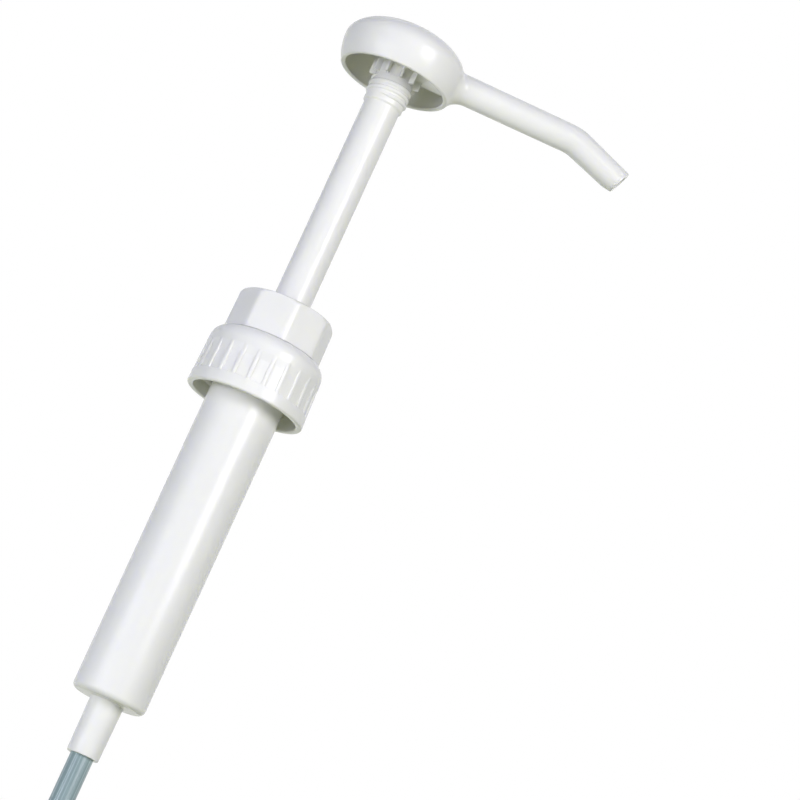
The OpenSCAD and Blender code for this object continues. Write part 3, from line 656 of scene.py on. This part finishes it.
def dome_and_fillet(a, dome_rows=60, fillet_rows=10, fine=720):
    """Points from the dome's back, over its skin and round the fillet, to the spout, in the plane at a."""
    fillet = fillet_above + (fillet_below - fillet_above) * (1 - math.sin(a)) / 2
    curve = []
    for k in range(fine + 1):
        swing = math.pi * (1 - k / fine)
        ahead, out = math.cos(swing), math.sin(swing)
        reach = dome_reach(ahead, out * math.cos(a), out * math.sin(a))
        curve.append(Vector((ahead * reach, out * reach)))
    for k in range(fine // 2 + 1, fine):
        along = (curve[k + 1] - curve[k - 1]).normalized()
        centre = curve[k] + fillet * Vector((-along.y, along.x))
        gap = centre.y - spout_r(centre.x) - fillet
        if gap <= 0:
            blend = before[2] / (before[2] - gap)
            touch = before[0].lerp(curve[k], blend)
            centre = before[1].lerp(centre, blend)
            break
        before = (curve[k], centre, gap)
    skin = curve[:k] + [touch]
    lengths = [0.0]
    for p, q in zip(skin, skin[1:]):
        lengths.append(lengths[-1] + (q - p).length)
    rows, at = [], 0
    for j in range(dome_rows + 1):
        want = lengths[-1] * j / dome_rows
        while at < len(lengths) - 2 and lengths[at + 1] < want:
            at += 1
        rows.append(skin[at].lerp(skin[at + 1], (want - lengths[at]) / (lengths[at + 1] - lengths[at])))
    first = math.atan2(touch.y - centre.y, touch.x - centre.x)
    for j in range(1, fillet_rows + 1):
        turn = first + (-math.pi / 2 - first) * j / fillet_rows
        rows.append(centre + fillet * Vector((math.cos(turn), math.sin(turn))))
    return rows


tip_ease, tip_ease_len, tip_steps = 0.7, 3.3, (0.33, 0.66, 0.92)
edge_back, edge_in, face_in = 0.02, 0.08, 0.25
skin_rows = []
for i in range(around):
    a = 2 * math.pi * i / around
    meridian = dome_and_fillet(a)
    row = [(p.x, p.y * math.cos(a), spout_z + p.y * math.sin(a)) for p in meridian]
    stations = spaced(meridian[-1].x, bend_start, 8) + spaced(bend_start, bend_start + bend_len, 10)
    stations += spaced(spout_len - tip_run, spout_len - tip_ease_len, 4)
    row += [spout_point(s, spout_r(s), a) for s in stations]
    under = max(0.0, -math.sin(a)) ** 2 * tip_ease
    for k in tip_steps:
        s = spout_len - tip_ease_len * (1 - k)
        row.append(spout_point(s, spout_r(s) - under * k, a, tip_cut * k))
    row.append(spout_point(spout_len - edge_back, spout_tip - under - edge_in, a, tip_cut))
    row.append(spout_point(spout_len, spout_tip - under - face_in, a, tip_cut))
    row.append(spout_point(spout_len, 0.0, a, tip_cut))
    skin_rows.append(row)

# The skin is cut off at the rim, and from there the wall goes round the rim and up the inside of the dome.
shell, same_place, on_plane = bmesh.new(), 1e-5, 1e-6
knots = [[shell.verts.new(p) for p in row] for row in skin_rows]
for column, following in zip(knots, knots[1:] + knots[:1]):
    for j in range(len(column) - 1):
        shell.faces.new((column[j], column[j + 1], following[j + 1], following[j]))
bmesh.ops.remove_doubles(shell, verts=shell.verts, dist=same_place)
unbent = [f for f in shell.faces if max(v.co.x for v in f.verts) < bend_start]
unbent_edges = dict.fromkeys(e for f in unbent for e in f.edges)
unbent_verts = dict.fromkeys(v for f in unbent for v in f.verts)
bmesh.ops.bisect_plane(
    shell, geom=[*unbent, *unbent_edges, *unbent_verts], dist=on_plane,
    plane_co=(0, 0, rim_z + rim_round), plane_no=(0, 0, 1), clear_inner=True)
mouth = [v for v in shell.verts if v.is_boundary]
mouth.sort(key=lambda v: math.atan2(v.co.y, v.co.x))
inner_r = head_r - wall
inner_rim = inner_r * math.cos(math.asin(side_h / side_fall))
inner_low = -math.asin((side_h - inner_round) / side_fall)
inner_rows = []
for t in map(math.radians, (90, 60, 30, 0)):
    inner_rows.append((inner_rim + inner_round * (1 - math.cos(t)), rim_z + inner_round * (1 - math.sin(t))))
for t in spaced(inner_low, 0.0, 8):
    inner_rows.append((inner_r * math.cos(t), widest_z + side_fall * math.sin(t)))
for t in spaced(0.0, math.pi / 2, 20):
    inner_rows.append((inner_r * math.cos(t), widest_z + (crown_h - wall) * math.sin(t)))
loops = []
for v in mouth:
    r, a = math.hypot(v.co.x, v.co.y), math.atan2(v.co.y, v.co.x)
    rim_rows = [
        (r - rim_round * (1 - math.cos(t)), rim_z + rim_round * (1 - math.sin(t)))
        for t in map(math.radians, (30, 60, 90))]
    loops.append([v] + [
        shell.verts.new((out * math.cos(a), out * math.sin(a), z)) for out, z in rim_rows + inner_rows])
for column, following in zip(loops, loops[1:] + loops[:1]):
    for j in range(len(column) - 1):
        shell.faces.new((column[j], column[j + 1], following[j + 1], following[j]))
bmesh.ops.remove_doubles(shell, verts=shell.verts, dist=same_place)
bmesh.ops.recalc_face_normals(shell, faces=shell.faces)
shell.verts.index_update()
head = make_piece(
    "head_shell", [tuple(v.co) for v in shell.verts], [[v.index for v in f.verts] for f in shell.faces],
    white_polypropylene, crease=40)
shell.free()

boss_r, boss_bore, socket_top, sunk_in = 7.0, 5.55, 121.4, 0.3
boss_top = widest_z + crown_h - wall + sunk_in
boss = turned("head_boss", [
    (boss_bore, rim_z, 0.2), (boss_r, rim_z, 0.3), (boss_r, boss_top), (0.0, boss_top),
    (0.0, socket_top), (boss_bore, socket_top)],
    white_polypropylene, steps=96)
grip_root, grip_reach, grip_lead, grip_rise, grip_width, grip_ease = 6.4, 9.2, 0.2, 0.25, 0.9, 0.16
boss_rib = bar("boss_rib", [
    (grip_root, grip_reach - grip_lead, rim_z), (grip_root, grip_reach, rim_z + grip_rise),
    (grip_root, grip_reach, boss_top)],
    grip_width, grip_ease, white_polypropylene)
boss_ribs = grown("head_boss_ribs", ring_of_copies, {
    "Copy": boss_rib, "Count": 10, "First angle": math.radians(28), "Material": white_polypropylene})
bpy.data.objects.remove(boss_rib)
duct_start, duct_end = 6.3, head_r - 0.8 * wall
duct = rod_along_x(
    "head_duct", spout_root, spout_z, (duct_start, duct_end), white_polypropylene, steps=64)
carve(head, "UNION", [boss, boss_ribs, duct], crease=40)

bore_start, bore_middle, tip_stops, bore_around = 4.0, 30.0, (10, 4), 64
mouth_ease, bore_past = 0.2, 0.3
bore_stops = [bore_start, bore_middle, bend_start] + spaced(bend_start, bend_start + bend_len, 6)
bore_stops += [spout_len - back for back in tip_stops]
bore_points = []
for i in range(bore_around):
    a = 2 * math.pi * i / bore_around
    bore_points.append(spout_point(bore_start, 0.0, a))
    bore_points += [spout_point(s, spout_bore, a) for s in bore_stops]
    bore_points.append(spout_point(spout_len - mouth_ease, spout_bore, a, tip_cut))
    bore_points.append(spout_point(spout_len + bore_past, spout_bore + mouth_ease + bore_past, a, tip_cut))
    bore_points.append(spout_point(spout_len + bore_past, 0.0, a, tip_cut))
bore_rows = len(bore_points) // bore_around
bore = make_piece(
    "spout_bore", bore_points, wrapped(bore_around, bore_rows, closed=False), white_polypropylene)
carve(head, "DIFFERENCE", [bore], crease=40)
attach(head, "head")
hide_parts("actuator_head")

# Studio
# A pale floor that fades into the white all round it, five soft boxes in front, one behind, one overhead.
# The camera stands low in front and looks up at the pump, rolled as the photograph is.
def seen_directly(tree):
    """One for a ray from the eye, a mirror or through glass, and nothing for a ray that carries light."""
    ray = add(tree, "ShaderNodeLightPath").outputs
    return sum_of(tree, "MAXIMUM", ray["Is Camera Ray"], sum_of(
        tree, "MAXIMUM", ray["Is Glossy Ray"], ray["Is Transmission Ray"]))


floor_gap, floor_reach, floor_glow = 0.0005, 3.0, 0.58
floor_z = tube_end * MM - floor_gap
floor_paint, tree, shader, place = start_material("pale_studio_floor")
feed(tree, shader, {
    "Base Color": linear("#C0C4A6"), "Roughness": 0.9, "Emission Color": linear("#F6F2FF"),
    "Emission Strength": sum_of(tree, "MULTIPLY", seen_directly(tree), floor_glow)})
far = add(tree, "ShaderNodeVectorMath", {0: place}, operation="LENGTH")
fade = add(tree, "ShaderNodeMapRange", {
    "Value": far.outputs["Value"], "From Min": 0.5, "From Max": 1.6}, interpolation_type="SMOOTHSTEP")
from_below = add(tree, "ShaderNodeNewGeometry").outputs["Backfacing"]
edge = add(tree, "ShaderNodeMixShader", {
    0: sum_of(tree, "MAXIMUM", fade.outputs["Result"], from_below),
    1: shader.outputs[0], 2: add(tree, "ShaderNodeBsdfTransparent").outputs[0]})
tree.links.new(edge.outputs[0], tree.nodes["Material Output"].inputs["Surface"])
floor_mesh = bpy.data.meshes.new("studio_floor")
floor_mesh.from_pydata([
    (x * floor_reach, y * floor_reach, floor_z) for x, y in ((-1, -1), (1, -1), (1, 1), (-1, 1))],
    [], [(0, 1, 2, 3)])
floor_mesh.materials.append(floor_paint)
studio_floor = bpy.data.objects.new("studio_floor", floor_mesh)
bpy.context.scene.collection.objects.link(studio_floor)

for name, toward, distance, width, height_of_box, watts, colour, mirrored in (
        ("soft_box_right", (0.559, -0.793, 0.232), 1.2, 0.52, 0.56, 8.95, "#F6F4FA", True),
        ("soft_box_left", (-0.72, -0.69, -0.082), 0.85, 0.36, 0.38, 0.8, "#E8E8FF", True),
        ("soft_box_low", (-0.69, -0.7, -0.19), 0.87, 0.4, 0.22, 2.45, "#EAEBFF", False),
        ("soft_box_front", (-0.4, -0.9, -0.19), 0.87, 0.4, 0.22, 1.15, "#F1EEFC", False),
        ("soft_box_high", (0.02, -0.8, 0.278), 0.85, 0.3, 0.1, 0.55, "#F6F4FA", True),
        ("soft_box_behind", (0.035, 0.968, 0.247), 1.5, 0.5, 0.5, 11.0, "#F4F4FF", False),
        ("soft_box_overhead", (0.1, 0.25, 1.0), 1.4, 1.4, 1.4, 1.2, "#F4F4FF", True)):
    lamp = bpy.data.lights.new(name, "AREA")
    lamp.shape = "RECTANGLE"
    lamp.size, lamp.size_y, lamp.energy = width, height_of_box, watts
    lamp.color = linear(colour)[:3]
    box = bpy.data.objects.new(name, lamp)
    box.location = Vector(toward).normalized() * distance
    box.rotation_euler = (-box.location).to_track_quat("-Z", "Y").to_euler()
    box.visible_camera = False
    box.visible_glossy = mirrored
    bpy.context.scene.collection.objects.link(box)

world = bpy.data.worlds.new("white_studio")
bpy.context.scene.world = world
world.use_nodes = True
tree = world.node_tree
tree.nodes.clear()
height_seen = add(tree, "ShaderNodeSeparateXYZ", {0: add(tree, "ShaderNodeTexCoord").outputs["Generated"]})
up_share = add(tree, "ShaderNodeMapRange", {
    "Value": height_seen.outputs["Z"], "From Min": -0.4, "From Max": 0.4}, interpolation_type="SMOOTHSTEP")
room = between(tree, up_share.outputs["Result"], "#181C10", "#4F5868")
around_it = add(tree, "ShaderNodeBackground", {"Color": room, "Strength": 1.0})
backdrop = add(tree, "ShaderNodeBackground", {"Color": (1, 1, 1, 1), "Strength": 1.0})
sky = add(tree, "ShaderNodeMixShader", {
    0: seen_directly(tree), 1: around_it.outputs[0], 2: backdrop.outputs[0]})
add(tree, "ShaderNodeOutputWorld", {"Surface": sky.outputs[0]})

look_up, roll, swing = math.radians(14.32), math.radians(24.17), math.radians(-2.07)
distance, aim = 0.993, Vector((0.0421, 0, 0.0077))
ahead = Vector((0, math.cos(look_up), math.sin(look_up)))
upward = Vector((0, -math.sin(look_up), math.cos(look_up)))
right = Vector((1, 0, 0))
axes = Matrix((
    math.cos(roll) * right + math.sin(roll) * upward,
    math.cos(roll) * upward - math.sin(roll) * right,
    -ahead))
lens = bpy.data.cameras.new("photo_camera")
lens.lens, lens.sensor_width, lens.shift_x, lens.shift_y = 132.4, 36.0, 0.0156, -0.0095
lens.clip_start, lens.clip_end = 0.05, 50.0
camera = bpy.data.objects.new("photo_camera", lens)
camera.matrix_world = Matrix.Rotation(swing, 4, "Z") @ Matrix.Translation(
    aim - distance * ahead) @ axes.transposed().to_4x4()
bpy.context.scene.collection.objects.link(camera)
bpy.context.scene.camera = camera
bpy.context.scene.view_settings.view_transform = "Standard"
